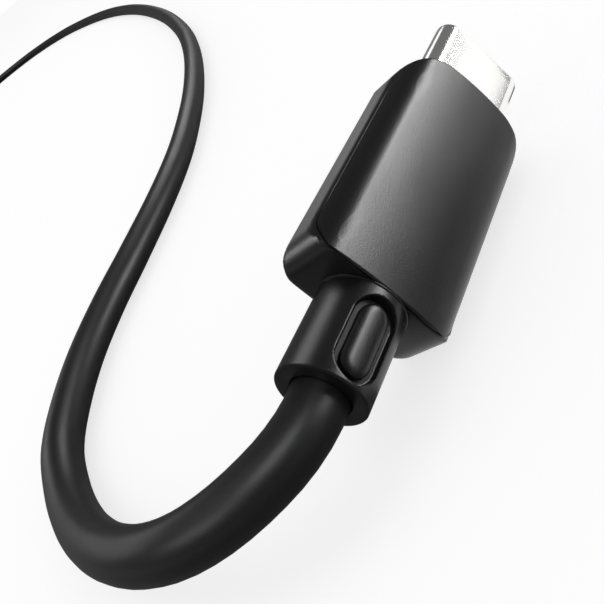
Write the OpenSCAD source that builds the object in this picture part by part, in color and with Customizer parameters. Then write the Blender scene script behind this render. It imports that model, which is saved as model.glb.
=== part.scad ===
// Charging cable: a USB-C plug, its cord with the spare length coiled and tied, and a USB-A plug.
// Each plug is modelled in its own frame: +X to its tip, x = 0 at the rear of its housing,
// +Z out of its broad face. It is then laid in the part frame, where the ground is z = 0.

/* [USB-C housing] */
// Width of the housing
c_w = 11.8; // [10.5:0.1:14]
// Thickness of the housing
c_h = 6.0; // [5.6:0.1:7.6]
// Length of the housing
c_l = 20.5; // [18:0.5:26]
// Corner radius beside the broad face
c_face_r = 1.9; // [1.5:0.1:2.2]
// Corner radius beside the back
c_back_r = 2.2; // [1.5:0.1:2.4]
// Plan radius of the front corners
c_nose_r = 3.4; // [1.5:0.1:3.8]
// Plan radius of the rear corners
c_tail_r = 1.7; // [1.3:0.1:2.4]
// Wall of the housing shells
c_wall = 0.8; // [0.6:0.05:0.9]
// Depth of the front cover down the sides
c_cover_d = 1.1; // [1.0:0.1:1.4]

/* [USB-C plug] */
// Width of the metal shell
c_shell_w = 8.25; // [8.2:0.01:8.3]
// Thickness of the metal shell
c_shell_h = 2.4; // [2.38:0.01:2.42]
// Sheet thickness of the metal shell
c_shell_t = 0.25; // [0.2:0.01:0.26]
// Length of shell that stands out of the housing
c_shell_out = 6.65; // [6.2:0.05:6.7]
// Length of shell held inside the housing
c_shell_in = 5.5; // [4:0.5:6]
// Pitch of the contacts
c_pitch = 0.5; // [0.48:0.01:0.5]

/* [USB-A housing] */
// Width of the housing
a_w = 15.4; // [14.6:0.1:17]
// Thickness of the housing
a_h = 7.6; // [7.2:0.1:9]
// Length of the housing
a_l = 24; // [21:0.5:30]
// Corner radius beside the broad face
a_face_r = 2.2; // [1.6:0.1:2.6]
// Corner radius beside the back
a_back_r = 2.4; // [1.6:0.1:2.6]
// Plan radius of the front corners
a_nose_r = 3.0; // [1.5:0.1:3.4]
// Plan radius of the rear corners
a_tail_r = 2.0; // [1.5:0.1:2.6]
// Wall of the housing shells
a_wall = 0.9; // [0.7:0.05:1]
// Depth of the front cover down the sides
a_cover_d = 1.3; // [1.1:0.1:1.6]

/* [USB-A plug] */
// Width of the metal shell
a_shell_w = 12.0; // [11.9:0.05:12.1]
// Thickness of the metal shell
a_shell_h = 4.5; // [4.4:0.05:4.6]
// Sheet thickness of the metal shell
a_shell_t = 0.3; // [0.25:0.01:0.35]
// Length of shell that stands out of the housing
a_shell_out = 18.75; // [17:0.25:19]
// Length of shell held inside the housing
a_shell_in = 6.5; // [5:0.5:7]
// Thickness of the tongue
a_tongue_t = 1.85; // [1.7:0.05:1.9]

/* [Strain relief] */
// Diameter of the collar
relief_d = 6.0; // [5.4:0.1:6.4]
// Length of the collar outside the housing
relief_l = 7; // [6.5:0.5:9]
// Width of the oval recess
recess_w = 3.2; // [2.8:0.1:3.8]
// Depth of the oval recess below the crest of the collar
recess_d = 0.75; // [0.5:0.05:0.8]
// Width of the raised pad in the recess
pad_w = 2.1; // [1.8:0.1:2.5]
// Height of the pad above the floor of the recess
pad_h = 0.6; // [0.3:0.05:0.7]

/* [Cord] */
// Diameter of the cord
cord_d = 3.8; // [3.5:0.05:3.9]
// Diameter of one insulated conductor
wire_d = 1.0; // [0.8:0.05:1]
// Radius of the coil at the middle of its turns
coil_r = 22; // [20:1:26]
// Levels of cord in the coil
coil_levels = 2; // [2:1:3]
// Width of the strap that ties the coil
tie_w = 8; // [6:1:12]
// Thickness of the strap
tie_t = 0.4; // [0.3:0.05:0.5]

/* [Hidden] */
$fn = 48;

over = 1;          // how far a cut runs past the solid it cuts
gap = 0.05;        // clearance between pieces that are assembled together
lip_t = 0.45;      // thickness of the cover where it laps over the rear wall
edge_r = 0.15;     // rounding of the collar's end
recess_ends = [0.25, 0.6];     // recess from the collar's free end, and from the housing
pad_margin = 0.5;  // floor of the recess at each end of the pad

// Lie of the plugs: the USB-C plug stands on the long edge between its side and its back
c_roll = 73;
c_lift = sin(c_roll) * (c_w/2 - c_back_r) + cos(c_roll) * (c_h/2 - c_back_r) + c_back_r;
c_reach_front = cos(c_roll) * (c_w/2 - c_face_r) + sin(c_roll) * (c_h/2 - c_face_r) + c_face_r;
c_reach_back = cos(c_roll) * (c_w/2 - c_back_r) + sin(c_roll) * (c_h/2 - c_back_r) + c_back_r;
c_at = [-(c_l + c_shell_out - relief_l)/2, (c_reach_front - c_reach_back)/2, c_lift];
a_end = [218, 460];    // where the cord enters the USB-A plug's strain relief
a_at = [a_end[0] - relief_l, a_end[1], a_h/2];

// Seam height of each housing, and the pieces that sit inside it
c_seam = c_h/2 - c_cover_d;
a_seam = a_h/2 - a_cover_d;
neck_d = cord_d + 0.7;         // neck of the strain relief in the housing's rear wall
flange_t = 1.2;                // flange of the strain relief behind that wall
jacket_in = 2.6;               // jacket inside the housing, past the rear wall
wire_ring = wire_d/2 + 0.06;    // conductors in the jacket, off its axis each way
bore_d = 2 * (sqrt(2) * wire_ring + wire_d/2) + 0.116;    // bore of the jacket end, around them
ferrule_l = 1.3;
card_t = 0.7;
card_l = 9.4;
card_w = 7.0;
card_x = c_l - c_shell_in + 0.5 - card_l;     // rear edge of the paddle card
slot_w = 6.9;
slot_h = 0.9;
contact_t = 0.12;
contact_w = 0.25;
contact_z = card_t/2 + 0.02;
can_t = 0.2;
can_gap = 0.3;                 // shield can to the housing, above and below
can_gap_side = 0.9;            // and at the sides, where the cover's tabs come down
tab_t = 0.25;
tab_gap = 0.45;                // tabs of the cover to the side walls
latch_t = 0.18;
latch_h = 0.6;
latch_x = c_l - 4.1;           // pivot of the latch springs
latch_l = 9.2;
latch_y = 3.40;
hook_d = 0.35;
lanes = [-1.5, -0.5, 0.5, 1.5];   // the four conductors, counted from the middle
bend_r = 0.8;                  // bend of each conductor where it leaves the jacket

// Coil and cord: centre of the coil, height of its lowest turn and route of the free stretches
coil_at = [265, 482];
coil_z = tie_t + 0.05;
coil_top = coil_z + (coil_levels - 0.5) * cord_d;    // middle of the cord in the top turn
c_exit = c_at - [relief_l, 0, 0];
a_exit = a_at + [relief_l, 0, 0];
straight = [1.5, 0, 0];        // stretch that leaves each strain relief along its axis
lead = [c_exit, c_exit - straight, [-20.9, 0.55, 5.97], [-23.2, 1.8, 5.95], [-25.2, 3.6, 5.85],
    [-26.8, 6.1, 5.65], [-27.6, 9.4, 5.25], [-27.5, 13.7, 4.6], [-26.5, 18.5, 3.7],
    [-24.8, 23.6, 2.7], [-22.2, 29, 2], [-17.8, 34.9, 1.95], [-12, 39.5, 1.95],
    [-5.9, 43.1, 1.95], [1, 46, 1.95], [10.5, 49, 1.95], [21, 52.5, 1.95],
    [33, 57.5, 1.95], [48, 66, 1.95], [72, 83, 1.95], [92, 100, 1.95], [119, 127, 1.95],
    [153, 166, 1.95], [189, 213, 1.95], [221, 262, 1.95], [245, 307, 1.95], [263, 349, 1.95],
    [272, 383, 1.95], [274, 405, 1.95], [270, 426, 1.95], [261, 444, 2], [252.5, 459.5, 2.2]];
tail = [[251, 460, coil_top + 0.05], [245, 460, coil_top - 0.15], [238, 460, 5.3], [231, 460, 4.5], [225, 460, 4],
    a_exit + straight, a_exit];
ring_gap = 10.5;      // longest step between two rings of a cord's tube
cord_sides = 8;

// ---------- curves ----------
function slope(p, i) =
    let (n = len(p) - 1, before = p[i] - p[max(i - 1, 0)], after = p[min(i + 1, n)] - p[i],
         a = norm(before), b = norm(after))
    i == 0 ? after/b : i == n ? before/a : (before * b/a + after * a/b)/(a + b);
function between(p, i, t) =
    let (d = norm(p[i + 1] - p[i]), s = t * t, c = s * t)
    (2*c - 3*s + 1) * p[i] + (c - 2*s + t) * d * slope(p, i)
    + (3*s - 2*c) * p[i + 1] + (c - s) * d * slope(p, i + 1);
function rings(p) = [for (i = [0:len(p) - 2])
    let (n = max(1, ceil(norm(p[i + 1] - p[i])/ring_gap)))
    for (k = [0:n - 1]) between(p, i, k/n), p[len(p) - 1]];
function unit(v) = v/norm(v);
function ring(c, along, r) =
    let (side = unit(cross([0, 0, 1], along)), up = cross(along, side))
    [for (k = [0:cord_sides - 1])
        let (a = (k + 0.5) * 360/cord_sides) c + r * (cos(a) * side + sin(a) * up)];

module tube(p, d) {
    q = rings(p);
    n = len(q);
    points = [for (i = [0:n - 1])
        each ring(q[i], unit(q[min(i + 1, n - 1)] - q[max(i - 1, 0)]), d/2)];
    sides = [for (i = [0:n - 2], k = [0:cord_sides - 1])
        let (a = i * cord_sides + k, b = i * cord_sides + (k + 1) % cord_sides)
        [a, a + cord_sides, b + cord_sides, b]];
    first = [for (k = [0:cord_sides - 1]) k];
    last = [for (k = [cord_sides - 1:-1:0]) (n - 1) * cord_sides + k];
    polyhedron(points, concat([first], sides, [last]), convexity = 6);
}

// ---------- shared shapes ----------
module in_c() { translate(c_at) rotate([c_roll, 0, 0]) children(); }
module in_a() { translate(a_at) rotate([0, 0, 180]) children(); }

// Box from x0 to x1, centred on y, from z0 to z1
module block(x0, x1, w, z0, z1, y = 0) { translate([x0, y - w/2, z0]) cube([x1 - x0, w, z1 - z0]); }

// Rod along x
module rod(x0, x1, d, y = 0, z = 0) {
    translate([x0, y, z]) rotate([0, 90, 0]) cylinder(d = d, h = x1 - x0);
}

// Flat bar with round sides along x
module bar(x0, x1, w, h) {
    block(x0, x1, w - h, -h/2, h/2);
    for (s = [-1, 1]) rod(x0, x1, h, s * (w - h)/2);
}

// Oval with round ends, seen along z
module oval(x0, x1, w, z0, z1) {
    block(x0 + w/2, x1 - w/2, w, z0, z1);
    for (x = [x0 + w/2, x1 - w/2]) translate([x, 0, z0]) cylinder(d = w, h = z1 - z0);
}

module section(w, h, face_r, back_r) {
    for (s = [-1, 1]) {
        translate([s * (w/2 - face_r), h/2 - face_r]) circle(face_r);
        translate([s * (w/2 - back_r), back_r - h/2]) circle(back_r);
    }
    translate([face_r - w/2, 0]) square([w - 2*face_r, h/2]);
    translate([back_r - w/2, -h/2]) square([w - 2*back_r, h/2]);
    translate([-w/2, back_r - h/2]) square([w, h - face_r - back_r]);
}

module plan(l, w, nose_r, tail_r) {
    for (s = [-1, 1]) {
        translate([l - nose_r, s * (w/2 - nose_r)]) circle(nose_r);
        translate([tail_r, s * (w/2 - tail_r)]) circle(tail_r);
    }
    translate([tail_r, -w/2]) square([l - nose_r - tail_r, w]);
    translate([0, tail_r - w/2]) square([l/2, w - 2*tail_r]);
    translate([l/2, nose_r - w/2]) square([l/2, w - 2*nose_r]);
}

// Outer form of a housing, or of its inside when it is drawn smaller by the wall t
module form(w, h, l, face_r, back_r, nose_r, tail_r, t = 0) {
    intersection() {
        translate([t, 0, 0]) rotate([90, 0, 90]) linear_extrude(l - 2*t)
            section(w - 2*t, h - 2*t, face_r - t, back_r - t);
        translate([t, 0, t - h/2]) linear_extrude(h - 2*t)
            plan(l - 2*t, w - 2*t, nose_r - t, tail_r - t);
    }
}

// Back, sides and end walls, up to the seam; the rear wall stands up under the cover's lip
module rear_half(w, h, l, wall, seam) {
    difference() {
        children(0);
        children(1);
        block(wall, l + over, w + 2*over, seam, h);
        block(-over, wall + over, w + 2*over, h/2 - lip_t, h);
        rod(-over, wall + over, neck_d + 2*gap);
        children(2);
    }
}

// Broad face, which wraps round the corners, with four tabs that clip inside the sides
module cover_half(w, h, l, wall, seam) {
    difference() {
        children(0);
        children(1);
        block(-over, l + over, w + 2*over, -h, seam + gap);
        block(-over, wall + gap, w + 2*over, -h, h/2 - lip_t + gap);
        children(2);
    }
    for (s = [-1, 1], x = [0.3 * l, 0.65 * l])
        block(x, x + 2.5, tab_t, seam - 1, h/2 - wall + 0.1, s * (w/2 - wall - tab_gap - tab_t/2));
}

// Collar outside, neck through the rear wall and flange behind it
module relief(h, wall) {
    difference() {
        union() {
            rotate([0, -90, 0]) rotate_extrude() {
                square([relief_d/2, relief_l - edge_r]);
                square([relief_d/2 - edge_r, relief_l]);
                translate([relief_d/2 - edge_r, relief_l - edge_r]) intersection() {
                    circle(edge_r);
                    square(edge_r);
                }
            }
            rod(-gap, wall + gap, neck_d);
            block(wall + gap, wall + gap + flange_t, neck_d + 2, gap + wall - h/2, h/2 - wall - can_gap);
        }
        rod(-relief_l - over, wall + flange_t + over, cord_d + 0.04);
        oval(recess_ends[0] - relief_l, -recess_ends[1], recess_w, relief_d/2 - recess_d, relief_d);
    }
}

module pad() {
    floor_z = relief_d/2 - recess_d;
    intersection() {
        oval(recess_ends[0] + pad_margin - relief_l, -recess_ends[1] - pad_margin, pad_w, floor_z,
            relief_d);
        rod(-relief_l, 0, 2 * (floor_z + pad_h));
    }
}

// End of the cord's jacket inside the strain relief, hollow around the conductors
module jacket_end(wall) {
    difference() {
        rod(-relief_l, wall + jacket_in, cord_d);
        rod(-relief_l + 3, wall + jacket_in + over, bore_d);
    }
}

module ferrule(wall) {
    x1 = wall + jacket_in;
    difference() {
        rod(x1 - ferrule_l, x1, cord_d + 0.44);
        rod(x1 - ferrule_l - over, x1 + over, cord_d + 0.04);
    }
}

// Four conductors: together in the jacket, then bent apart and straight to their solder joints
module conductors(wall, x_end, spread, z_end) {
    x0 = -relief_l + 3.1;
    x1 = wall + jacket_in + 0.3;
    for (k = lanes) {
        start = [x1, sign(k) * wire_ring, (abs(k) > 1 ? -1 : 1) * wire_ring];
        way = [x_end, k * spread, z_end] - start;
        aside = norm([way[1], way[2]]);
        reach = norm([way[0], aside - bend_r]);
        turn = atan2(aside - bend_r, way[0]) + asin(bend_r/reach);
        rod(x0, x1, wire_d, start[1], start[2]);
        translate(start) rotate([atan2(way[2], way[1]), 0, 0]) {
            translate([0, bend_r, 0]) rotate([0, 0, -90]) rotate_extrude(angle = turn)
                translate([bend_r, 0]) circle(d = wire_d);
            translate([bend_r * sin(turn), bend_r * (1 - cos(turn)), 0]) rotate([0, 90, turn])
                cylinder(d = wire_d, h = sqrt(reach * reach - bend_r * bend_r));
        }
    }
}

// Tube of sheet metal; its corners run inside those of the housing
module can(x0, x1, w, h, face_r, back_r) {
    difference() {
        translate([x0, 0, 0]) rotate([90, 0, 90]) linear_extrude(x1 - x0) section(w, h, face_r, back_r);
        translate([x0 - over, 0, 0]) rotate([90, 0, 90]) linear_extrude(x1 - x0 + 2*over)
            section(w - 2*can_t, h - 2*can_t, face_r - can_t, back_r - can_t);
    }
}

// ---------- USB-C plug ----------
module c_form(t = 0) { form(c_w, c_h, c_l, c_face_r, c_back_r, c_nose_r, c_tail_r, t); }

module usb_c_shell() {
    color("gainsboro") in_c() difference() {
        bar(c_l - c_shell_in, c_l + c_shell_out, c_shell_w, c_shell_h);
        bar(c_l - c_shell_in - over, c_l + c_shell_out + over,
            c_shell_w - 2*c_shell_t, c_shell_h - 2*c_shell_t);
    }
}

module usb_c_insulator() {
    x0 = c_l - c_shell_in + 0.8;
    x1 = c_l + c_shell_out - 0.35;
    color("dimgray") in_c() difference() {
        bar(x0, x1, c_shell_w - 2*c_shell_t - 0.08, c_shell_h - 2*c_shell_t - 0.08);
        block(x0 - over, x1 + over, slot_w, -slot_h/2, slot_h/2);
        for (s = [-1, 1])
            block(x0 - over, x1 - 0.4, 1.6, -latch_h/2 - 0.06, latch_h/2 + 0.06, s * (slot_w/2 + 0.4));
        for (i = [0:11])
            block(x0 - over, x1 - 0.3, contact_w + 0.08, -contact_z - contact_t - 0.03,
                contact_z + contact_t + 0.03, (i - 5.5) * c_pitch);
        block(x1 - 2.6, x1 - 1, 4.4, c_shell_h/2 - c_shell_t - 0.2, c_shell_h);
        block(x1 - 2.6, x1 - 1, 4.4, -c_shell_h, c_shell_t + 0.2 - c_shell_h/2);
    }
}

module contact_row(side) {
    for (i = [0:11])
        block(card_x + card_l - 1.4, c_l + c_shell_out - 0.9, contact_w,
            side > 0 ? contact_z : -contact_z - contact_t,
            side > 0 ? contact_z + contact_t : -contact_z, (i - 5.5) * c_pitch);
}

module upper_contacts() { color("gold") in_c() contact_row(1); }
module lower_contacts() { color("gold") in_c() contact_row(-1); }

// Ground plate between the two rows, with an ear behind each latch spring
module mid_plate() {
    plate_t = 0.16;
    x0 = card_x + card_l + 0.05;
    color("silver") in_c() {
        block(x0, latch_x + 1.4, 2 * (latch_y - 0.3), -plate_t/2, plate_t/2);
        for (s = [-1, 1])
            block(x0 + 0.5, latch_x - 0.05, latch_t + 0.35, -latch_h/2, latch_h/2,
                s * (latch_y + latch_t - (latch_t + 0.35)/2));
    }
}

// Sprung arm beside the slot, with a hook that holds the plug in its socket
module latch(side) {
    x1 = latch_x + latch_l;
    block(latch_x, x1, latch_t, -latch_h/2, latch_h/2, side * (latch_y + latch_t/2));
    block(x1 - 0.6, x1, hook_d, -latch_h/2, latch_h/2, side * (latch_y + 0.02 - hook_d/2));
}

module left_latch_spring() { color("silver") in_c() latch(1); }
module right_latch_spring() { color("silver") in_c() latch(-1); }

// Thin sprung plates that earth the socket's shell, one in each face of the insulator
module ground_springs() {
    x1 = c_l + c_shell_out - 0.35;
    color("silver") in_c() for (s = [-1, 1]) {
        z = c_shell_h/2 - c_shell_t - 0.14;
        block(x1 - 2.55, x1 - 1.05, 4.3, s > 0 ? z - 0.05 : -z - 0.05, s > 0 ? z + 0.05 : 0.05 - z);
    }
}

module paddle_card() {
    color("darkgreen") in_c() block(card_x, card_x + card_l, card_w, -card_t/2, card_t/2);
}

module marker_chip() {
    color("black") in_c() block(card_x + 3.4, card_x + 5.8, 2.4, card_t/2 + 0.02, card_t/2 + 0.6);
}

module card_capacitors() {
    color("tan") in_c() for (y = [-2.6, 2.6], x = [3.5, 4.7])
        block(card_x + x, card_x + x + 0.9, 0.5, card_t/2 + 0.02, card_t/2 + 0.45, y);
}

c_pad_x = card_x + 0.1;        // rear end of the solder joints on the card
module usb_c_solder_joints() {
    color("silver") in_c() for (k = lanes)
        block(c_pad_x, c_pad_x + 1.3, 0.8, card_t/2 + 0.02, card_t/2 + 0.7, k * 1.7);
}

module usb_c_conductors() {
    color("firebrick") in_c() conductors(c_wall, c_pad_x - 0.5, 1.7, card_t/2 + wire_d/2);
}

c_can_w = c_w - 2*(c_wall + can_gap_side);
c_can_h = c_h - 2*(c_wall + can_gap);
c_can_x = c_wall + jacket_in + 0.6;
module usb_c_shield_can() {
    color("silver") in_c() can(c_can_x, c_l - c_shell_in - 0.1, c_can_w, c_can_h,
        c_face_r - c_wall - can_gap, c_back_r - c_wall - can_gap);
}

// Mould under the card, inside the shield can
module usb_c_inner_mould() {
    color("whitesmoke") in_c() block(card_x - 0.4, card_x + card_l - 1.5,
        c_can_w - 2*c_back_r + 2*c_wall, can_t + gap - c_can_h/2, -card_t/2 - gap);
}

module usb_c_ferrule() { color("peru") in_c() ferrule(c_wall); }
module usb_c_jacket_end() { color([0.13, 0.13, 0.13]) in_c() jacket_end(c_wall); }

// Opening for the metal shell in the front wall
module c_mouth() { bar(c_l - c_wall - over, c_l + over, c_shell_w + 2*gap, c_shell_h + 2*gap); }

module usb_c_rear_shell() {
    color([0.22, 0.22, 0.23]) in_c() rear_half(c_w, c_h, c_l, c_wall, c_seam) {
        c_form();
        c_form(c_wall);
        c_mouth();
    }
}

module usb_c_front_cover() {
    color([0.26, 0.26, 0.27]) in_c() cover_half(c_w, c_h, c_l, c_wall, c_seam) {
        c_form();
        c_form(c_wall);
        c_mouth();
    }
}

module usb_c_strain_relief() { color([0.2, 0.2, 0.21]) in_c() relief(c_h, c_wall); }
module usb_c_badge_pad() { color([0.3, 0.3, 0.31]) in_c() pad(); }

// ---------- cord ----------
module cord_lead() { color([0.13, 0.13, 0.13]) tube(lead, cord_d); }
module cord_tail() { color([0.13, 0.13, 0.13]) tube(tail, cord_d); }

module cord_coil() {
    color([0.13, 0.13, 0.13]) translate([coil_at[0], coil_at[1], coil_z]) rotate_extrude($fn = 72)
        translate([coil_r - cord_d/2, 0]) square([cord_d, coil_levels * cord_d]);
}

// Strap round the coil, on the side away from the loose ends
module coil_tie() {
    h = coil_levels * cord_d + 2*gap;
    w = cord_d + tie_w * tie_w/(4*coil_r) + 4*gap;      // room for the curve of the turns
    color("darkslategray") translate([coil_at[0] + coil_r, coil_at[1], coil_z - gap]) difference() {
        translate([-w/2 - tie_t, -tie_w/2, -tie_t]) cube([w + 2*tie_t, tie_w, h + 2*tie_t]);
        translate([-w/2, -tie_w/2 - over, 0]) cube([w, tie_w + 2*over, h]);
    }
}

// ---------- USB-A plug ----------
module a_form(t = 0) { form(a_w, a_h, a_l, a_face_r, a_back_r, a_nose_r, a_tail_r, t); }
a_in_w = a_shell_w - 2*a_shell_t - 0.1;
a_in_h = a_shell_h - 2*a_shell_t - 0.1;
a_tongue_z = a_tongue_t - a_in_h/2;      // top of the tongue
a_tip = a_l + a_shell_out;

module usb_a_shell() {
    corner_r = 0.6;
    color("gainsboro") in_a() difference() {
        translate([a_l - a_shell_in, 0, 0]) rotate([90, 0, 90]) linear_extrude(a_shell_in + a_shell_out)
            section(a_shell_w, a_shell_h, corner_r, corner_r);
        block(0, a_tip + over, a_shell_w - 2*a_shell_t, a_shell_t - a_shell_h/2, a_shell_h/2 - a_shell_t);
        for (y = [-2.85, 2.85]) block(a_tip - 8.6, a_tip - 6.4, 2.5, 0, a_shell_h, y);
    }
}

module usb_a_tongue() {
    color("dimgray") in_a() {
        block(a_l - 2, a_tip - 0.5, a_in_w, -a_in_h/2, a_tongue_z);
        block(a_l - a_shell_in + 1, a_l - 2, a_in_w, -a_in_h/2, a_in_h/2);
    }
}

module usb_a_contacts() {
    strip_t = 0.2;
    color("gold") in_a() for (y = [-3.5, -1, 1, 3.5]) {
        block(a_l - 1.95, a_tip - 2.5, 1, a_tongue_z + 0.01, a_tongue_z + 0.01 + strip_t, y);
        block(a_l - a_shell_in - 3, a_l - a_shell_in + 0.95, 1, 0, strip_t, y);
    }
}

a_pad_x = a_l - a_shell_in - 3;
module usb_a_solder_joints() {
    color("silver") in_a() for (y = [-3.5, -1, 1, 3.5]) block(a_pad_x, a_pad_x + 1.4, 0.9, 0.22, 0.8, y);
}

module usb_a_conductors() {
    color("firebrick") in_a() conductors(a_wall, a_pad_x - 0.5, 2.35, wire_d/2);
}

a_can_w = a_w - 2*(a_wall + can_gap_side);
a_can_h = a_h - 2*(a_wall + can_gap);
a_can_x = a_wall + jacket_in + 0.6;
module usb_a_shield_can() {
    color("silver") in_a() can(a_can_x, a_l - a_shell_in - 0.1, a_can_w, a_can_h,
        a_face_r - a_wall - can_gap, a_back_r - a_wall - can_gap);
}

module usb_a_inner_mould() {
    color("whitesmoke") in_a() block(a_can_x + 1, a_l - a_shell_in - 0.3,
        a_can_w - 2*a_back_r + 2*a_wall, can_t + gap - a_can_h/2, -wire_ring - wire_d/2 - 0.1);
}

module usb_a_ferrule() { color("peru") in_a() ferrule(a_wall); }
module usb_a_jacket_end() { color([0.13, 0.13, 0.13]) in_a() jacket_end(a_wall); }

// Opening for the metal shell in the front wall
module a_mouth() {
    block(a_l - a_wall - over, a_l + over, a_shell_w + 2*gap, -a_shell_h/2 - gap, a_shell_h/2 + gap);
}

module usb_a_rear_shell() {
    color([0.22, 0.22, 0.23]) in_a() rear_half(a_w, a_h, a_l, a_wall, a_seam) {
        a_form();
        a_form(a_wall);
        a_mouth();
    }
}

module usb_a_front_cover() {
    color([0.26, 0.26, 0.27]) in_a() cover_half(a_w, a_h, a_l, a_wall, a_seam) {
        a_form();
        a_form(a_wall);
        a_mouth();
    }
}

module usb_a_strain_relief() { color([0.2, 0.2, 0.21]) in_a() relief(a_h, a_wall); }
module usb_a_badge_pad() { color([0.3, 0.3, 0.31]) in_a() pad(); }

usb_c_shell();
usb_c_insulator();
upper_contacts();
lower_contacts();
mid_plate();
left_latch_spring();
right_latch_spring();
ground_springs();
paddle_card();
marker_chip();
card_capacitors();
usb_c_solder_joints();
usb_c_conductors();
usb_c_shield_can();
usb_c_inner_mould();
usb_c_ferrule();
usb_c_jacket_end();
usb_c_rear_shell();
usb_c_front_cover();
usb_c_strain_relief();
usb_c_badge_pad();
cord_lead();
cord_coil();
cord_tail();
coil_tie();
usb_a_shell();
usb_a_tongue();
usb_a_contacts();
usb_a_solder_joints();
usb_a_conductors();
usb_a_shield_can();
usb_a_inner_mould();
usb_a_ferrule();
usb_a_jacket_end();
usb_a_rear_shell();
usb_a_front_cover();
usb_a_strain_relief();
usb_a_badge_pad();
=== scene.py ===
import bpy
import bmesh
import math
import numpy as np
from mathutils import Matrix, Vector


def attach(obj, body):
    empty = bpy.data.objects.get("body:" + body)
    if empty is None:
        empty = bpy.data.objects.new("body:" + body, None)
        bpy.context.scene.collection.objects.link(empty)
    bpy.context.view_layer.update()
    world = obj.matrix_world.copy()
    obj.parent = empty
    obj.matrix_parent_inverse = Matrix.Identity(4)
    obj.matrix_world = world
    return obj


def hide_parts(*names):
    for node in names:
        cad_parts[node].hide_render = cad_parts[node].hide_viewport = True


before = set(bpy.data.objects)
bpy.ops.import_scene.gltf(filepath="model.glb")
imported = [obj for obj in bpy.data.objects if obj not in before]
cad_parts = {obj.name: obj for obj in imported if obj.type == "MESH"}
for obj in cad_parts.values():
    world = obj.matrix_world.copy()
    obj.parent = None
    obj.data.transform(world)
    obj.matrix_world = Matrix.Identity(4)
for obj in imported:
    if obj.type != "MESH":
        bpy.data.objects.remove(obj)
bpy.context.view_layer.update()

mm = 0.001
sharpFrom = 40                                      # degrees: a bend sharper than this stays a crisp edge
scene = bpy.context.scene
scene.view_settings.view_transform = "Standard"


# helpers that every piece uses
def smooth(t):
    t = min(1.0, max(0.0, t))
    return t * t * (3 - 2 * t)


def mix(a, b, t):
    return a + (b - a) * t


def linear(hexColour):
    parts = [int(hexColour[i:i + 2], 16) / 255 for i in (1, 3, 5)]
    return [c / 12.92 if c <= 0.04045 else ((c + 0.055) / 1.055) ** 2.4 for c in parts] + [1.0]


def meshPiece(name, points, faces, place=None, sharpAngle=sharpFrom, uvs=None):
    mesh = bpy.data.meshes.new(name)
    mesh.from_pydata([Vector(p) * mm for p in points], [], faces)
    if uvs:
        layer = mesh.uv_layers.new(name="UVMap")
        for loop in mesh.loops:
            layer.data[loop.index].uv = uvs[loop.index]
    if place is not None:
        mesh.transform(place)
    tool = bmesh.new()
    tool.from_mesh(mesh)
    bmesh.ops.remove_doubles(tool, verts=tool.verts, dist=0.002 * mm)
    bmesh.ops.dissolve_degenerate(tool, edges=tool.edges, dist=0.0005 * mm)
    bmesh.ops.recalc_face_normals(tool, faces=tool.faces)
    tool.to_mesh(mesh)
    tool.free()
    mesh.update()
    piece = bpy.data.objects.new(name, mesh)
    scene.collection.objects.link(piece)
    mesh.shade_smooth()
    mesh.set_sharp_from_angle(angle=math.radians(sharpAngle))
    return piece


def ringFaces(rings, count, capFirst=False, capLast=False):
    faces = []
    for r in range(rings - 1):
        for k in range(count):
            n = (k + 1) % count
            faces.append((r * count + k, r * count + n, (r + 1) * count + n, (r + 1) * count + k))
    if capFirst:
        faces.append(tuple(range(count - 1, -1, -1)))
    if capLast:
        faces.append(tuple((rings - 1) * count + k for k in range(count)))
    return faces


def bakeModifiers(piece):
    bpy.context.view_layer.update()
    graph = bpy.context.evaluated_depsgraph_get()
    mesh = bpy.data.meshes.new_from_object(piece.evaluated_get(graph))
    piece.modifiers.clear()
    piece.data = mesh
    return piece


# materials
def addNode(tree, kind, settings=None, **inputs):
    node = tree.nodes.new(kind)
    for name, value in (settings or {}).items():
        setattr(node, name, value)
    for name, value in inputs.items():
        numbered = name[0] == "i" and name[1:].isdigit()        # i0 or i6 gives a socket by its place
        socket = node.inputs[int(name[1:]) if numbered else name.replace("_", " ")]
        if isinstance(value, bpy.types.NodeSocket):
            tree.links.new(value, socket)
        else:
            socket.default_value = value
    return node


plasticIor = 1.5
cloudSize = 6                                       # mm, patches in which the sheen changes slowly


def newMaterial(name, colour, roughness, metallic=0.0):
    material = bpy.data.materials.new(name)
    material.use_nodes = True
    tree = material.node_tree
    shader = tree.nodes["Principled BSDF"]
    shader.inputs["Base Color"].default_value = linear(colour)
    shader.inputs["Roughness"].default_value = roughness
    shader.inputs["Metallic"].default_value = metallic
    if not metallic:
        shader.inputs["IOR"].default_value = plasticIor
    return material, tree, shader


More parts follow.
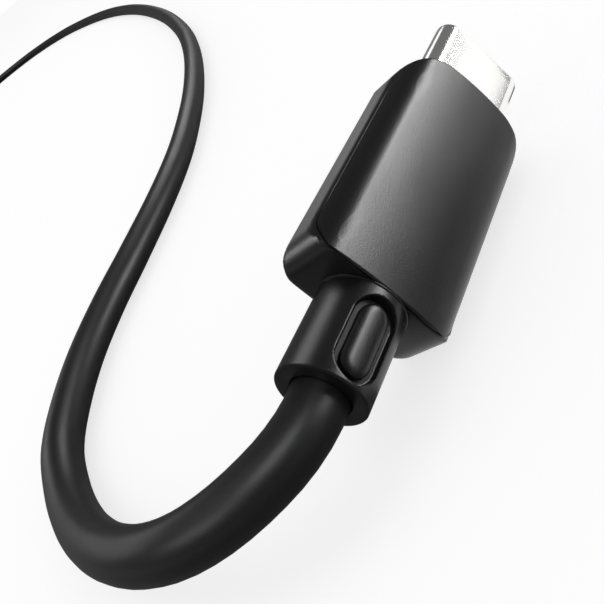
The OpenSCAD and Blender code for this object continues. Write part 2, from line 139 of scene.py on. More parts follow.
def grained(name, colour, roughness, grain=0.12, height=0.012, contrast=0.12, metallic=0.0, spread=0.06,
            level=0.5):                             # grain and height in mm
    material, tree, shader = newMaterial(name, colour, roughness, metallic)
    shader.inputs["Specular IOR Level"].default_value = level
    where = addNode(tree, "ShaderNodeTexCoord").outputs["Object"]
    fine = addNode(tree, "ShaderNodeTexNoise", Vector=where, Scale=1 / (grain * mm), Detail=2.0)
    broad = addNode(tree, "ShaderNodeTexNoise", Vector=where, Scale=1 / (cloudSize * mm), Detail=3.0)
    base = linear(colour)
    dark = [c * (1 - contrast) for c in base[:3]] + [1]
    light = [c * (1 + contrast) for c in base[:3]] + [1]
    tint = addNode(tree, "ShaderNodeMix", dict(data_type="RGBA"), i0=fine.outputs["Fac"], i6=dark, i7=light)
    tree.links.new(tint.outputs[2], shader.inputs["Base Color"])
    rough = addNode(tree, "ShaderNodeMapRange", Value=broad.outputs["Fac"])
    rough.inputs["To Min"].default_value = roughness - spread
    rough.inputs["To Max"].default_value = roughness + spread
    tree.links.new(rough.outputs[0], shader.inputs["Roughness"])
    bump = addNode(tree, "ShaderNodeBump", Height=fine.outputs["Fac"], Distance=height * mm, Strength=1.0)
    tree.links.new(bump.outputs[0], shader.inputs["Normal"])
    return material


# ABS moulded with a spark-eroded grain: charcoal, finely speckled, with soft highlights;
# the grain is as coarse as it needs to be to show
sparkGrainAbs = grained("sparkGrainAbs", "#1b1b1d", 0.32, grain=0.11, height=0.009, contrast=0.25,
                        level=0.32)
# ABS moulded smoother: satin, for the collar and its pad
satinAbs = grained("satinAbs", "#151517", 0.34, grain=0.14, height=0.006, level=0.36)
# extruded elastomer: smooth and matt, with a broad soft sheen
softTpe = grained("softTpe", "#121213", 0.42, grain=0.3, height=0.008, level=0.36)
# drawn steel with bright nickel: mirrors what is round it, slightly blurred
brightNickel = grained("brightNickel", "#fbfaf8", 0.17, grain=0.3, height=0.001, contrast=0.02, metallic=1.0,
                       spread=0.03)
# what is inside the plugs
glassFilledNylon = grained("glassFilledNylon", "#1d1e20", 0.5)                  # moulded: dull black
goldPlate = grained("goldPlate", "#e2b766", 0.22, height=0.001, contrast=0.03, metallic=1.0)  # warm glints
springSteel = grained("springSteel", "#b9b8b4", 0.3, height=0.002, contrast=0.03, metallic=1.0)  # grey
boardMask = grained("boardMask", "#12402a", 0.3)                                # lacquer: dark green gloss
chipEpoxy = grained("chipEpoxy", "#17181a", 0.6)                                # moulded: dull black
ceramic = grained("ceramicCapacitor", "#a98a66", 0.4)                           # fired: tan
solderTin = grained("solderTin", "#c9c9c4", 0.25, height=0.004, contrast=0.05, metallic=1.0)  # reflowed
wireSkin = grained("wireSkin", "#a8221c", 0.35)                                 # extruded: clean red
tinnedCan = grained("tinnedCan", "#b5b5b0", 0.35, contrast=0.04, metallic=1.0)  # pressed: pale grey
naturalPe = grained("naturalPe", "#d8d6c8", 0.5, contrast=0.03)                 # moulded: milky, waxy
copperCrimp = grained("copperCrimp", "#c0844c", 0.3, contrast=0.05, metallic=1.0)  # crimped: warm, soft
# woven nylon: matt and rough, with threads that catch no highlight
strapWeave = grained("strapWeave", "#1a1a1b", 0.85, grain=0.4, height=0.08, contrast=0.4)

# the two plugs and where they lie, in millimetres
plugC = dict(w=11.8, h=6.0, l=20.5, faceR=1.9, backR=2.2, noseR=3.4, tailR=1.7, seam=1.3,
             shellW=8.25, shellH=2.4, shellT=0.25, shellCorner=1.2, shellOut=6.65)
plugA = dict(w=15.4, h=7.6, l=24.0, faceR=2.2, backR=2.4, noseR=3.0, tailR=2.0, seam=1.7,
             shellW=12.0, shellH=4.5, shellT=0.3, shellCorner=0.6, shellOut=18.75)
relief = dict(d=6.0, l=7.0, bore=1.93, neck=2.28, neckIn=0.8, edge=0.13, bead=0.07,
              recessW=3.2, recessD=0.75, recessWall=0.2, recessFrom=0.25, recessTo=0.6,
              padW=2.1, padH=0.6, padGap=0.5, padEdge=0.55, padDrop=0.26, padSunk=0.08)
cAt = Vector((-10.075, 0.0372, 5.9718))
cRoll = 73                                          # degrees: it stands on the edge between side and back
aAt = Vector((211, 460, 3.8))
cPlace = Matrix.Translation(cAt * mm) @ Matrix.Rotation(math.radians(cRoll), 4, "X")
aPlace = Matrix.Translation(aAt * mm) @ Matrix.Rotation(math.pi, 4, "Z")
cExit = cAt - Vector((relief["l"], 0, 0))

# camera: its right, up and backward directions, and its place in metres, as columns
cameraData = bpy.data.cameras.new("camera")
cameraData.lens = 45.89
cameraData.sensor_width = 36
cameraData.clip_start = 0.001
camera = bpy.data.objects.new("camera", cameraData)
camera.matrix_world = Matrix((
    (0.3872, 0.7414, -0.5481, -0.037875),
    (-0.7145, -0.1344, -0.6866, -0.030600),
    (-0.5828, 0.6574, 0.4777, 0.031550),
    (0, 0, 0, 1)))
scene.collection.objects.link(camera)
scene.camera = camera
print("camera set")

# cord: the route as listed points, then the coil by a loop, then the end that goes into the far plug
cordSizes = dict(d=3.8, coilR=22, coilX=265, coilY=482, level=2.35, rise=3.8, step=1.2, sides=32)
leadRoute = [cExit, cExit - Vector((1.5, 0, 0)), (-20.9, 0.55, 5.97), (-23.2, 1.8, 5.95),
             (-25.2, 3.6, 5.85), (-26.8, 6.1, 5.65), (-27.6, 9.4, 5.25), (-27.5, 13.7, 4.6),
             (-26.5, 18.5, 3.7), (-24.8, 23.6, 2.7), (-22.2, 29, 2), (-17.8, 34.9, 1.95),
             (-12, 39.5, 1.95), (-5.9, 43.1, 1.95), (1, 46, 1.95), (10.5, 49, 1.95),
             (21, 52.5, 1.95), (33, 57.5, 1.95), (48, 66, 1.95), (72, 83, 1.95),
             (92, 100, 1.95), (119, 127, 1.95), (153, 166, 1.95), (189, 213, 1.95),
             (221, 262, 1.95), (245, 307, 1.95), (263, 349, 1.95), (272, 383, 1.95),
             (274, 405, 1.95), (270, 426, 1.95), (261, 444, 2), (252.5, 459.5, 2.2)]
tailRoute = [(251, 460, 6.2), (245, 460, 6), (238, 460, 5.3), (231, 460, 4.5), (225, 460, 4),
             (219.5, 460, 3.8), (218, 460, 3.8)]


def coilRoute(startAngle=209, turned=660, levelTurn=300, riseTurn=60, spacing=15):
    points = []
    for a in range(0, turned + 1, spacing):
        angle = math.radians(startAngle - a)
        z = cordSizes["level"] + cordSizes["rise"] * smooth((a - levelTurn) / riseTurn)
        points.append((cordSizes["coilX"] + cordSizes["coilR"] * math.cos(angle),
                       cordSizes["coilY"] + cordSizes["coilR"] * math.sin(angle), z))
    return points


# a curve through the points of a route, then points at even steps along it
def throughPoints(route, step, finer=20):
    p = [Vector(v) for v in route]
    n = len(p) - 1
    slopes = []
    for i in range(n + 1):
        before, after = p[i] - p[max(i - 1, 0)], p[min(i + 1, n)] - p[i]
        a, b = before.length, after.length
        slopes.append(after / b if i == 0 else before / a if i == n
                      else (before * (b / a) + after * (a / b)) / (a + b))
    dense = []
    for i in range(n):
        d = (p[i + 1] - p[i]).length
        for k in range(finer):
            t = k / finer
            s, c = t * t, t * t * t
            dense.append((2 * c - 3 * s + 1) * p[i] + (c - 2 * s + t) * d * slopes[i]
                         + (3 * s - 2 * c) * p[i + 1] + (c - s) * d * slopes[i + 1])
    dense.append(p[n])
    gone = [0.0]
    for a, b in zip(dense, dense[1:]):
        gone.append(gone[-1] + (b - a).length)
    count = round(gone[-1] / step)
    marks = np.linspace(0, gone[-1], count + 1)
    columns = [[v[axis] for v in dense] for axis in range(3)]
    path = [Vector([float(np.interp(m, gone, column)) for column in columns]) for m in marks]
    return path, gone[-1]


def tubeAlong(name, path, radius, sides):
    points, uvs = [], []
    side = Vector((0, 0, 1)).cross(path[1] - path[0]).normalized()
    for i, centre in enumerate(path):
        along = (path[min(i + 1, len(path) - 1)] - path[max(i - 1, 0)]).normalized()
        side = (side - along * side.dot(along)).normalized()
        up = along.cross(side)
        for k in range(sides):
            a = 2 * math.pi * k / sides
            points.append(centre + (side * math.cos(a) + up * math.sin(a)) * radius)
    faces = ringFaces(len(path), sides, capFirst=True, capLast=True)
    step = (path[1] - path[0]).length
    for face in faces[:-2]:
        row, column = face[0] // sides, face[0] % sides
        u0, u1, v0, v1 = column / sides, (column + 1) / sides, row * step * mm, (row + 1) * step * mm
        uvs += [(u0, v0), (u1, v0), (u1, v1), (u0, v1)]
    uvs += [(0.0, 0.0)] * (2 * sides)
    return meshPiece(name, points, faces, uvs=uvs)


cordPath, cordLength = throughPoints(leadRoute + coilRoute() + tailRoute, cordSizes["step"])
cord = tubeAlong("cord", cordPath, cordSizes["d"] / 2, cordSizes["sides"])
print("cord made, millimetres long:", round(cordLength))

# housings: a rear shell and a front cover that laps round its corners
# lip is the cover's edge at the rear end, gap half the parting line, edge the softened rim along it,
# endReach and sideShare say how far the rounding runs in, climb where the parting line starts to rise
coverSizes = dict(lip=0.34, gap=0.025, edge=0.09, thick=0.42, fillet=0.14, heel=0.55, crown=0.5, bow=0.25,
                  endReach=0.85, sideShare=0.8, blend=2.5, climb=0.4, step=0.28)


def planOutline(size, inner):
    half, l, step = size["w"] / 2, size["l"], coverSizes["step"]
    noseR, tailR = size["noseR"], size["tailR"]
    endReach, sideReach = coverSizes["endReach"], coverSizes["sideShare"] * tailR
    found = []

    def line(x0, y0, x1, y1, nx, ny, reach):
        length = math.hypot(x1 - x0, y1 - y0)
        count = max(2, round(length / step))
        for i in range(count):
            t = i / count
            if ny:
                grown = mix(reach, size["faceR"], smooth(min(t, 1 - t) * length / coverSizes["blend"]))
            else:
                grown = reach
            found.append((mix(x0, x1, t) - nx * inner, mix(y0, y1, t) - ny * inner, nx, ny, grown))

    def arc(cx, cy, r, a0):
        count = max(8, round(r * math.pi / 2 / step * 1.8))     # closer than on the straight stretches
        for i in range(count):
            a = math.radians(a0 + 90 * i / count)
            nx, ny = math.cos(a), math.sin(a)
            reach = mix(endReach, sideReach, smooth(abs(ny)))
            found.append((cx + (r - inner) * nx, cy + (r - inner) * ny, nx, ny, reach))

    line(l, noseR - half, l, half - noseR, 1, 0, endReach)
    arc(l - noseR, half - noseR, noseR, 0)
    line(l - noseR, half, tailR, half, 0, 1, sideReach)
    arc(tailR, half - tailR, tailR, 90)
    line(0, half - tailR, 0, tailR - half, -1, 0, endReach)
    arc(tailR, tailR - half, tailR, 180)
    line(tailR, -half, l - noseR, -half, 0, -1, sideReach)
    arc(l - noseR, noseR - half, noseR, 270)
    return found


def faceHeight(size, y, inner, upper):
    half, r = size["w"] / 2 - inner, size["faceR" if upper else "backR"] - inner
    over = min(r, max(0.0, abs(y) - (half - r)))
    height = size["h"] / 2 - inner - r + math.sqrt(max(0.0, r * r - over * over))
    return height - coverSizes["crown"] * (y / size["w"] * 2) ** 2 if upper else -height


def seamHeight(size, x):                            # the parting line climbs round the rear corners
    r, climb = size["tailR"], coverSizes["climb"]
    turned = math.asin(min(1.0, max(0.0, 1 - x / r)))
    gone = (climb * r + r * turned if x < r else max(0.0, (1 + climb) * r - x)) / (r * (climb + math.pi / 2))
    return mix(size["seam"], size["h"] / 2 - coverSizes["lip"], 0.5 * gone + 0.5 * smooth(gone))


def formColumn(size, spot, inner, front, samples=40):
    x, y, nx, ny, reach = spot
    sign = 1 if front else -1

    def risen(upper):
        rounding = coverSizes["fillet" if upper or x > size["l"] / 2 else "heel"]
        fillet = max(0.02, rounding - inner * 0.6) * (1 - smooth(abs(ny) * 1.6 - 0.6))     # only at the ends
        path = []
        for i in range(samples + 1):
            inset = reach * (1 - math.cos(math.pi / 2 * i / samples))
            drop = fillet - math.sqrt(max(0.0, fillet ** 2 - max(0.0, fillet - inset) ** 2))
            z = faceHeight(size, y - ny * inset, inner, upper)
            path.append((inset, z - drop if upper else z + drop))
        return path

    upper, lower = risen(True), risen(False)
    whole = upper[::-1] + [(0, mix(upper[0][1], lower[0][1], t)) for t in (0.25, 0.5, 0.75)] + lower
    seam = seamHeight(size, x + nx * inner) + sign * coverSizes["gap"]
    cut = next(i for i in range(len(whole)) if whole[i][1] < seam)
    (i0, z0), (i1, z1) = whole[cut - 1], whole[cut]
    t = (z0 - seam) / (z0 - z1)
    crossing = (mix(i0, i1, t), seam)
    return [crossing] + (whole[:cut][::-1] if front else whole[cut:])


def resampled(profile, count):
    gone = [0.0]
    for a, b in zip(profile, profile[1:]):
        gone.append(gone[-1] + math.dist(a, b))
    marks = np.linspace(0, gone[-1], count)
    return [(float(np.interp(m, gone, [p[0] for p in profile])),
             float(np.interp(m, gone, [p[1] for p in profile]))) for m in marks]


def housingHalf(name, size, place, front, rings=26, fills=9):
    half, l = size["w"] / 2, size["l"]
    edge, sign = coverSizes["edge"], 1 if front else -1
    skins = []
    for inner in (0.0, coverSizes["thick"]):
        columns = []
        for spot in planOutline(size, inner):
            x, y, nx, ny = spot[:4]
            profile = resampled(formColumn(size, spot, inner, front), rings)
            if not inner:
                (i0, z0), cut = profile[0], 0.3 * edge
                rim = [(i0 + edge, z0), (i0 + cut, z0 + sign * cut), (i0, z0 + sign * edge)]
                profile = rim + profile[1:]
            column = [(x - nx * inset, y - ny * inset, z) for inset, z in profile]
            ex, ey = column[-1][:2]
            mx = min(max(ex, half), l - half)
            for j in range(1, fills + 1):
                py = mix(ey, 0, j / fills)
                column.append((mix(ex, mx, j / fills), py, faceHeight(size, py, inner, front)))
            bowed = []
            for px, py, pz in column:
                back = coverSizes["bow"] * (py / half) ** 2 * smooth((px - l / 2) / (l / 2))
                bowed.append((px - back, py, pz))
            columns.append(bowed)
        skins.append(columns)
    count = len(skins[0])
    points = [skins[0][k][r] for r in range(len(skins[0][0]) - 1, -1, -1) for k in range(count)]
    points += [skins[1][k][r] for r in range(len(skins[1][0])) for k in range(count)]
    return meshPiece(name, points, ringFaces(len(points) // count, count), place)


def stadium(width, height, corner, step=0.12):
    found = []
    hw, hh = width / 2 - corner, height / 2 - corner
    around = max(8, round(corner * math.pi / 2 / step))
    for cx, cy, a0 in ((hw, hh, 0), (-hw, hh, 90), (-hw, -hh, 180), (hw, -hh, 270)):
        for i in range(around + 1):
            a = math.radians(a0 + 90 * i / around)
            found.append((cx + corner * math.cos(a), cy + corner * math.sin(a), math.cos(a), math.sin(a)))
    return found


def plugShell(name, size, place, inside=4.0, rim=0.11, foot=0.4):
    outer = stadium(size["shellW"], size["shellH"], size["shellCorner"])
    t, x0, x1 = size["shellT"], size["l"] - inside, size["l"] + size["shellOut"]
    turns = [math.radians(15 * i) for i in range(7)]
    stations = [(x0, 0), (x0 + foot, 0)]
    stations += [(mix(x0, x1 - rim, i / 12), 0) for i in range(1, 13)]
    stations += [(x1 - rim + rim * math.sin(a), rim * (1 - math.cos(a))) for a in turns[1:]]
    stations.append((x1, t / 2))
    stations += [(x1 - rim + rim * math.sin(a), t - rim * (1 - math.cos(a))) for a in reversed(turns)]
    stations += [(x0 + foot, t), (x0, t), (x0, 0)]
    points = [(x, y - ny * inset, z - nz * inset) for x, inset in stations for y, z, ny, nz in outer]
    return meshPiece(name, points, ringFaces(len(stations), len(outer)), place)


def cutWith(piece, cutter):
    cut = piece.modifiers.new("cut", "BOOLEAN")
    cut.operation = "DIFFERENCE"
    cut.solver = "EXACT"
    cut.object = cutter
    bakeModifiers(piece)
    piece.data.set_sharp_from_angle(angle=math.radians(sharpFrom))
    bpy.data.objects.remove(cutter)
    return piece


def slotCutter(size, place, clear=0.06, deep=3, past=2):
    outer = stadium(size["shellW"] + 2 * clear, size["shellH"] + 2 * clear, size["shellCorner"] + clear)
    points = [(x, y, z) for x in (size["l"] - deep, size["l"] + past) for y, z, *_ in outer]
    return meshPiece("cutter", points, ringFaces(2, len(outer), capFirst=True, capLast=True), place)


def roundCutter(place, radius=2.34, outside=-2, inside=1.5, count=64):
    points = [(x, radius * math.cos(2 * math.pi * k / count), radius * math.sin(2 * math.pi * k / count))
              for x in (outside, inside) for k in range(count)]
    return meshPiece("cutter", points, ringFaces(2, count, capFirst=True, capLast=True), place)


# strain relief: a collar with a dished oval, and the bare pad that stands in it
def ovalDistance(x, y, x0, x1, width):
    r = width / 2
    return math.hypot(x - min(max(x, x0 + r), x1 - r), y) - r


def reliefCollar(name, place, around=288):
    r, l, edge, bead = relief["d"] / 2, relief["l"], relief["edge"], relief["bead"]
    bore, neck, neckIn = relief["bore"], relief["neck"], relief["neckIn"]
    profile = [(neckIn, bore), (neckIn, neck), (0.05, neck), (0.03, neck + 0.1), (0.0, r - 0.04)]
    profile += [(-bead + bead * math.cos(math.radians(a)), r + bead * math.sin(math.radians(a)))
                for a in range(15, 166, 25)]        # a fine raised rim where it meets the housing
    profile += [(mix(-2.2 * bead, edge - l, i / 120), r) for i in range(121)]
    profile += [(edge - l - edge * math.sin(math.radians(a)), r - edge + edge * math.cos(math.radians(a)))
                for a in range(15, 91, 15)]
    profile += [(-l, bore + 0.12), (0.03 - l, bore + 0.04), (0.12 - l, bore), (-3, bore), (neckIn, bore)]
    floorZ = r - relief["recessD"]
    points = []
    for x, radius in profile:
        for k in range(around):
            a = 2 * math.pi * k / around
            y, z = radius * math.sin(a), radius * math.cos(a)
            if z > 1 and radius > neck + 0.2:
                d = ovalDistance(x, y, relief["recessFrom"] - l, -relief["recessTo"], relief["recessW"])
                z = mix(z, min(z, floorZ), smooth(-d / relief["recessWall"]))
            points.append((x, y, z))
    return meshPiece(name, points, ringFaces(len(profile), around), place, sharpAngle=50)


def reliefPad(name, place):
    l, r = relief["l"], relief["padW"] / 2
    x0, x1 = relief["recessFrom"] + relief["padGap"] - l, -relief["recessTo"] - relief["padGap"]
    floorZ = relief["d"] / 2 - relief["recessD"]
    crest, edge, drop = floorZ + relief["padH"], relief["padEdge"], relief["padDrop"]
    outline = []
    for cx, a0 in ((x1 - r, -90), (x0 + r, 90)):
        for i in range(33):
            a = math.radians(a0 + 180 * i / 32)
            outline.append((cx, math.cos(a), math.sin(a)))
    rings = [(0, None)]                              # None: the foot, sunk in the recess floor
    rings += [(edge * (1 - math.cos(math.radians(a))), drop * (math.sin(math.radians(a)) - 1))
              for a in range(0, 91, 10)]
    rings += [(mix(edge, r, i / 4), 0) for i in range(1, 5)]
    points = []
    for inset, fall in rings:
        for cx, nx, ny in outline:
            x, y = cx + nx * (r - inset), ny * (r - inset)
            z = floorZ - relief["padSunk"] if fall is None else math.sqrt(crest ** 2 - y * y) + fall
            points.append((x, y, z))
    return meshPiece(name, points, ringFaces(len(rings), len(outline), capFirst=True), place)


def windowCutter(size, place, y, width=2.5, near=8.6, far=6.4, low=1, high=4):
    tip = size["l"] + size["shellOut"]
    points = [(x, y + dy, z) for x in (tip - near, tip - far)
              for dy, z in ((-width / 2, low), (width / 2, low), (width / 2, high), (-width / 2, high))]
    return meshPiece("cutter", points, ringFaces(2, 4, capFirst=True, capLast=True), place)


def buildPlug(prefix, size, place, windows=()):
    cover = housingHalf(prefix + "_cover", size, place, True)
    rear = housingHalf(prefix + "_rear", size, place, False)
    cutWith(rear, slotCutter(size, place))
    cutWith(rear, roundCutter(place))
    shell = plugShell(prefix + "_shell_bright", size, place)
    for y in windows:
        cutWith(shell, windowCutter(size, place, y))
    collar = reliefCollar(prefix + "_collar", place)
    pad = reliefPad(prefix + "_pad", place)
    pairs = ((cover, "front_cover", "housing"), (rear, "rear_shell", "housing"),
             (shell, "shell", "plug_shell"), (collar, "strain_relief", "relief"), (pad, "badge_pad", "pad"))
    for piece, node, slotName in pairs:
        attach(piece, "cable")
        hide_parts(prefix + "_" + node)
    print(prefix, "made")
    return dict(cover=cover, rear=rear, shell=shell, collar=collar, pad=pad)


cParts = buildPlug("usb_c", plugC, cPlace)
aParts = buildPlug("usb_a", plugA, aPlace, windows=(-2.85, 2.85))

# strap round the coil: a flat band with woven ribs across it
strapSizes = dict(x=287, y=482, z=0.4, innerW=4.727, innerH=7.7, corner=1.9, wide=8.0, thick=0.28, edge=0.12,
                  clear=0.02, lap=0.44, ribPitch=0.46, ribR=0.13, ribLong=7.5, ribSunk=0.05)


def strapPath():
    around = stadium(strapSizes["innerW"], strapSizes["innerH"], strapSizes["corner"], step=0.25)
    quarter = len(around) // 4
    centreZ = strapSizes["z"] + strapSizes["innerH"] / 2
    path = []
    for i, (x, z, nx, nz) in enumerate(around + around[:quarter]):
        off = strapSizes["thick"] / 2 + strapSizes["clear"] + (strapSizes["lap"] if i >= len(around) else 0)
        path.append((Vector((strapSizes["x"] + x + nx * off, strapSizes["y"], centreZ + z + nz * off)),
                     Vector((nx, 0, nz))))
    return path


def ribTree():
    tree = bpy.data.node_groups.new("strapRibs", "GeometryNodeTree")
    sockets = tree.interface
    sockets.new_socket("Geometry", in_out="INPUT", socket_type="NodeSocketGeometry")
    for label in ("Rib Pitch", "Rib Radius", "Rib Length"):
        sockets.new_socket(label, in_out="INPUT", socket_type="NodeSocketFloat")
    sockets.new_socket("Strap Material", in_out="INPUT", socket_type="NodeSocketMaterial")
    sockets.new_socket("Geometry", in_out="OUTPUT", socket_type="NodeSocketGeometry")
    given = tree.nodes.new("NodeGroupInput").outputs
    curve = addNode(tree, "GeometryNodeMeshToCurve", Mesh=given["Geometry"])
    spaced = addNode(tree, "GeometryNodeResampleCurve", dict(mode="LENGTH"), Curve=curve.outputs[0],
                     Length=given["Rib Pitch"])
    rib = addNode(tree, "GeometryNodeMeshCylinder", Vertices=8, Radius=given["Rib Radius"],
                  Depth=given["Rib Length"])
    across = addNode(tree, "GeometryNodeTransform", Geometry=rib.outputs["Mesh"],
                     Rotation=(math.pi / 2, 0, 0))
    ribs = addNode(tree, "GeometryNodeInstanceOnPoints", Points=spaced.outputs[0],
                   Instance=across.outputs[0])
    real = addNode(tree, "GeometryNodeRealizeInstances", Geometry=ribs.outputs[0])
    dyed = addNode(tree, "GeometryNodeSetMaterial", Geometry=real.outputs[0],
                   Material=given["Strap Material"])
    addNode(tree, "NodeGroupOutput", Geometry=dyed.outputs[0])
    return tree


def strapRibs(path, material):
    out = strapSizes["thick"] / 2 - strapSizes["ribSunk"]
    mesh = bpy.data.meshes.new("ribs")
    mesh.from_pydata([(p + n * out) * mm for p, n in path], [(i, i + 1) for i in range(len(path) - 1)], [])
    ribs = bpy.data.objects.new("ribs", mesh)
    scene.collection.objects.link(ribs)
    tree = ribTree()
    weave = ribs.modifiers.new("ribs", "NODES")
    weave.node_group = tree
    values = {"Rib Pitch": strapSizes["ribPitch"] * mm, "Rib Radius": strapSizes["ribR"] * mm,
              "Rib Length": strapSizes["ribLong"] * mm, "Strap Material": material}
    for item in tree.interface.items_tree:
        if item.in_out == "INPUT" and item.name in values:
            weave[item.identifier] = values[item.name]
    return bakeModifiers(ribs)


def coilStrap(material):
    path = strapPath()
    section = stadium(strapSizes["thick"], strapSizes["wide"], strapSizes["edge"], step=0.06)
    points = [p + n * a + Vector((0, b, 0)) for p, n in path for a, b, *_ in section]
    band = meshPiece("coil_strap", points, ringFaces(len(path), len(section), capFirst=True, capLast=True))
    band.data.materials.append(material)
    ribs = strapRibs(path, material)
    both = bmesh.new()
    both.from_mesh(band.data)
    both.from_mesh(ribs.data)
    both.to_mesh(band.data)
    both.free()
    bpy.data.objects.remove(ribs)
    band.data.shade_smooth()
    band.data.set_sharp_from_angle(angle=math.radians(sharpFrom))
    return band


strap = coilStrap(strapWeave)
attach(strap, "cable")
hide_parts("coil_tie")
print("strap made")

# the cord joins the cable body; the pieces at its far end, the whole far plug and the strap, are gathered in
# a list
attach(cord, "cable")
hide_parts("cord_lead", "cord_coil", "cord_tail")
farInside = ("tongue", "contacts", "solder_joints", "conductors", "shield_can", "inner_mould", "ferrule",
             "jacket_end")
farPieces = [aParts[k] for k in ("cover", "rear", "shell", "collar", "pad")]
farPieces += [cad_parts["usb_a_" + n] for n in farInside] + [strap]


def dress(piece, material):
    if not piece.material_slots:
        piece.data.materials.append(material)
    for slot in piece.material_slots:
        slot.material = material


for parts in (cParts, aParts):
    dress(parts["cover"], sparkGrainAbs)
    dress(parts["rear"], sparkGrainAbs)
    dress(parts["shell"], brightNickel)
    dress(parts["collar"], satinAbs)
    dress(parts["pad"], satinAbs)
dress(cord, softTpe)
nodeFinish = {
    glassFilledNylon: ("usb_c_insulator", "usb_a_tongue"),
    goldPlate: ("upper_contacts", "lower_contacts", "usb_a_contacts"),
    springSteel: ("mid_plate", "left_latch_spring", "right_latch_spring", "ground_springs"),
    boardMask: ("paddle_card",), chipEpoxy: ("marker_chip",), ceramic: ("card_capacitors",),
    solderTin: ("usb_c_solder_joints", "usb_a_solder_joints"),
    wireSkin: ("usb_c_conductors", "usb_a_conductors"),
    tinnedCan: ("usb_c_shield_can", "usb_a_shield_can"),
    naturalPe: ("usb_c_inner_mould", "usb_a_inner_mould"),
    copperCrimp: ("usb_c_ferrule", "usb_a_ferrule"),
    softTpe: ("usb_c_jacket_end", "usb_a_jacket_end"),
}
for material, names in nodeFinish.items():
    for name in names:
        dress(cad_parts[name], material)

# floor, world and lights
studio = dict(floorHalf=6, floorGlow=0.72, tentRadius=1.2, tentGlow=0.15, worldLit=0.5, worldSeen=1.0)


def seenDirectly(tree):                             # 1 for rays from the camera, off gloss or through glass
    path = addNode(tree, "ShaderNodeLightPath")
    seen = addNode(tree, "ShaderNodeMath", dict(operation="MAXIMUM"), i0=path.outputs["Is Camera Ray"],
                   i1=path.outputs["Is Transmission Ray"])
    seen = addNode(tree, "ShaderNodeMath", dict(operation="MAXIMUM"), i0=seen.outputs[0],
                   i1=path.outputs["Is Glossy Ray"])
    return seen.outputs[0]


def reflectedOnly(piece):                           # nothing but reflections sees it
    for ray in ("camera", "diffuse", "transmission", "volume_scatter", "shadow"):
        setattr(piece, "visible_" + ray, False)


reach = studio["floorHalf"]
floorMesh = bpy.data.meshes.new("floor")
floorMesh.from_pydata([(-reach, -reach, 0), (reach, -reach, 0), (reach, reach, 0), (-reach, reach, 0)], [],
                      [(0, 1, 2, 3)])
floor = bpy.data.objects.new("floor", floorMesh)
scene.collection.objects.link(floor)
paleFloor, floorTree, floorShader = newMaterial("paleFloor", "#b4b4b4", 0.9)
floorShader.inputs["Specular IOR Level"].default_value = 0.0
floorShader.inputs["Emission Color"].default_value = linear("#ffffff")
floorGlow = addNode(floorTree, "ShaderNodeMath", dict(operation="MULTIPLY"), i0=seenDirectly(floorTree),
                    i1=studio["floorGlow"])
floorTree.links.new(floorGlow.outputs[0], floorShader.inputs["Emission Strength"])
floorMesh.materials.append(paleFloor)

tentMesh = bpy.data.meshes.new("darkTent")          # dark grey cloth round the set
tentTool = bmesh.new()
bmesh.ops.create_icosphere(tentTool, subdivisions=4, radius=studio["tentRadius"])
tentTool.to_mesh(tentMesh)
tentTool.free()
tent = bpy.data.objects.new("darkTent", tentMesh)
scene.collection.objects.link(tent)
greyCloth, _, tentShader = newMaterial("greyCloth", "#202020", 1.0)
tentShader.inputs["Emission Color"].default_value = (1, 1, 1, 1)
tentShader.inputs["Emission Strength"].default_value = studio["tentGlow"]
tentShader.inputs["Specular IOR Level"].default_value = 0.0
tentMesh.materials.append(greyCloth)
reflectedOnly(tent)

# card colours for painted shade: they darken the floor only as the plug and cord reflect it
blackShadeCard = newMaterial("blackShadeCard", "#101010", 1.0)[0]
greyShadeCard = newMaterial("greyShadeCard", "#a4a4a4", 1.0)[0]
cardHeight = 0.2                                    # mm over the floor
# painted shade: cards on the floor beside the plug and under the cord, which only reflections see, so that
# the shiny sides reflect a darker floor there; west, south, east and north edge in mm
shadeCards = dict(plug=(blackShadeCard, -13, -30, 24, -11), tip=(blackShadeCard, 24, -17, 60, -11),
             under=(blackShadeCard, 18, -2, 44, 8), loop=(greyShadeCard, -80, -60, -13, 560),
             limb=(greyShadeCard, -13, 14, 320, 560))
for side, (paint, west, south, east, north) in shadeCards.items():
    cardMesh = bpy.data.meshes.new(side + "Card")
    corners = ((west, south), (east, south), (east, north), (west, north))
    cardMesh.from_pydata([Vector((x, y, cardHeight)) * mm for x, y in corners], [], [(0, 1, 2, 3)])
    cardMesh.materials.append(paint)
    card = bpy.data.objects.new(side + "Card", cardMesh)
    scene.collection.objects.link(card)
    reflectedOnly(card)

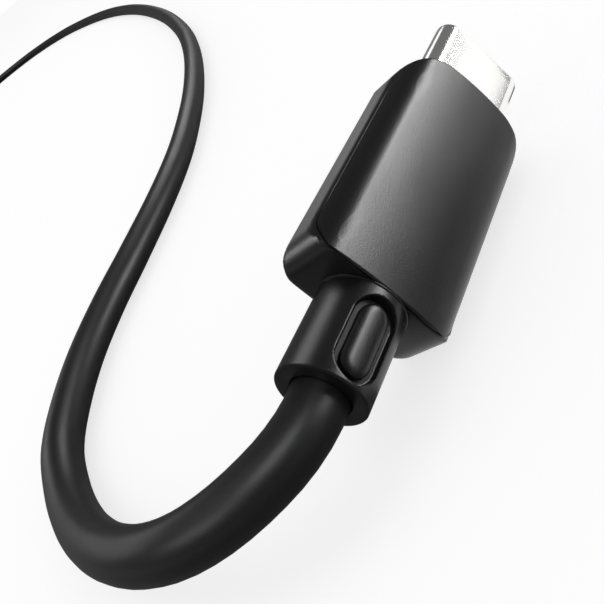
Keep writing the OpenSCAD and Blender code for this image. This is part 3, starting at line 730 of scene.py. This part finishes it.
world = bpy.data.worlds.new("studio")
scene.world = world
world.use_nodes = True
worldTree = world.node_tree
background = worldTree.nodes["Background"]
level = addNode(worldTree, "ShaderNodeMapRange", Value=seenDirectly(worldTree))
level.inputs["To Min"].default_value = studio["worldLit"]
level.inputs["To Max"].default_value = studio["worldSeen"]
worldTree.links.new(level.outputs[0], background.inputs["Strength"])
background.inputs["Color"].default_value = (1, 1, 1, 1)


# turn and rise in degrees and away in metres say where it stands; where lit is given, it lights only that
def softBox(name, turn, rise, width, height, radiance, lit=(), fills=False, away=0.7):
    data = bpy.data.lights.new(name, "AREA")
    data.shape = "RECTANGLE"
    data.size, data.size_y = width, height
    data.energy = radiance * math.pi * width * height
    light = bpy.data.objects.new(name, data)
    turn, rise = math.radians(turn), math.radians(rise)
    at = Vector((math.cos(rise) * math.cos(turn), math.cos(rise) * math.sin(turn), math.sin(rise)))
    light.location = at * away
    light.rotation_euler = (-at).to_track_quat("-Z", "Y").to_euler()
    light.visible_camera = False
    light.visible_diffuse = fills
    scene.collection.objects.link(light)
    if lit:
        shone = bpy.data.collections.new(name + "Shone")
        for piece in lit:
            shone.objects.link(piece)
        light.light_linking.receiver_collection = shone
    return light


housings = [parts[key] for parts in (cParts, aParts) for key in ("cover", "rear")]
collars = [parts[key] for parts in (cParts, aParts) for key in ("collar", "pad")]
shells = [cParts["shell"], aParts["shell"]]
softBox("lowStrip", -44, 12.3, 0.42, 0.115, 18)                    # long low highlight down the broad face
softBox("collarBox", 44, 52, 0.36, 0.3, 3.9, lit=collars)
softBox("limbBox", 25, 25, 0.32, 0.15, 5, lit=[cord])              # left limb of the loop
softBox("shellBox", 40, 31, 0.4, 0.28, 1.1, lit=shells)            # round sides of the metal shells
softBox("topBox", -112, 61, 0.42, 0.26, 7, lit=[cord])             # cord where it leaves the collar
softBox("turnBox", 174, 41, 0.5, 0.22, 3.8, lit=[cord])            # half way down to the foot of the loop
softBox("footBox", 96, 24, 0.5, 0.2, 2.0, lit=[cord])              # foot and outer edge of the loop
softBox("wallBox", 57, 7, 0.44, 0.2, 0.9, lit=housings)            # narrow side of the housing
softBox("cornerBox", 106, 29, 0.26, 0.2, 9, lit=housings)          # rear corner of the housing
softBox("overhead", 120, 68, 0.6, 0.6, 0.7, fills=True, away=0.85)
print("floor, world and lights set")
